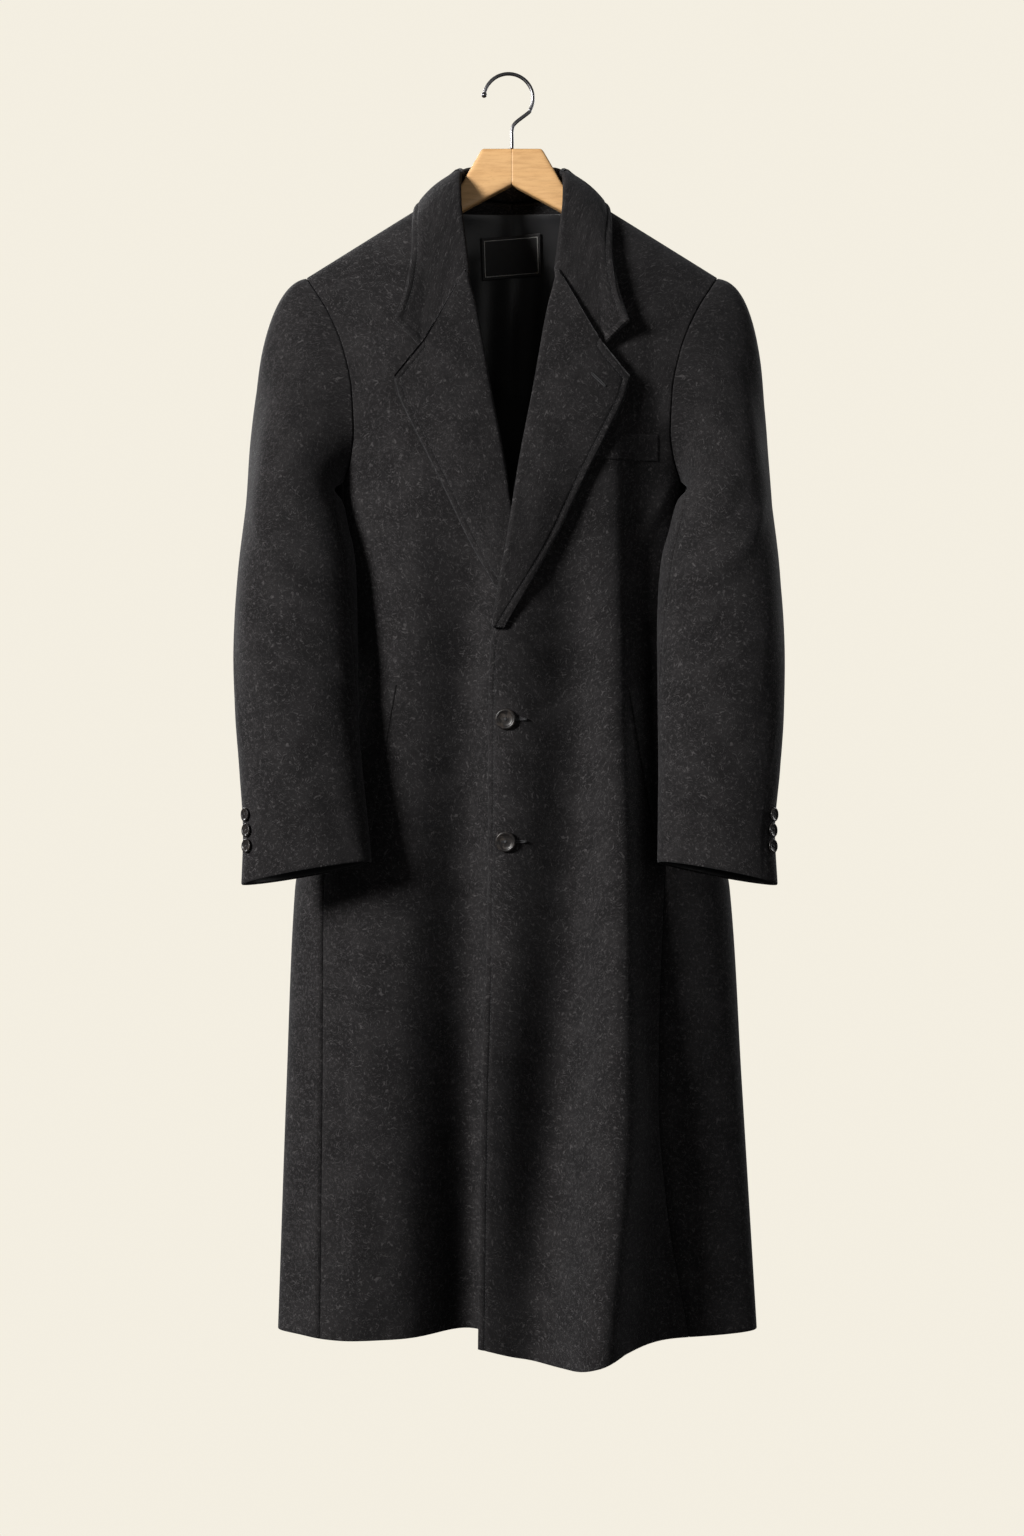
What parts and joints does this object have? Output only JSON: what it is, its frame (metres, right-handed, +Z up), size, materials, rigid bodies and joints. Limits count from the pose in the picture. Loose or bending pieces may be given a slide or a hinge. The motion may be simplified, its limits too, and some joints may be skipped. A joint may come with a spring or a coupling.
{
  "type": "wool overcoat on a wooden hanger",
  "caption": "Long single-breasted charcoal wool overcoat with notched lapels, hanging on a plain wooden hanger with a steel hook.",
  "frame": {"origin": "inside of the hook's crown, where a rail or a nail carries the hanger", "axes": "+Z up, the coat's front faces -Y, +X towards the wearer's left"},
  "size_m": [0.5911, 0.2059, 1.4072],
  "materials": {
    "wool": "matte",
    "lining": "satin",
    "label": "satin",
    "button": "glossy",
    "beech": "satin",
    "steel": "satin"
  },
  "bodies": {
    "root": {"front_left": "wool", "side_left": "wool", "back_left": "wool", "sleeve_top_left": "wool", "sleeve_under_left": "wool", "lapel_left": "wool", "hip_welt_left": "wool", "cuff_lining_left": "lining", "cuff_button_left_1": "button", "cuff_button_left_2": "button", "cuff_button_left_3": "button", "hanger_arm_left": "beech", "front_right": "wool", "side_right": "wool", "back_right": "wool", "sleeve_top_right": "wool", "sleeve_under_right": "wool", "lapel_right": "wool", "hip_welt_right": "wool", "cuff_lining_right": "lining", "cuff_button_right_1": "button", "cuff_button_right_2": "button", "cuff_button_right_3": "button", "hanger_arm_right": "beech", "collar": "wool", "chest_welt": "wool", "back_lining": "lining", "neck_label": "label", "hook": "steel", "front_button_1": "button", "front_button_2": "button"}
  },
  "joints": []
}
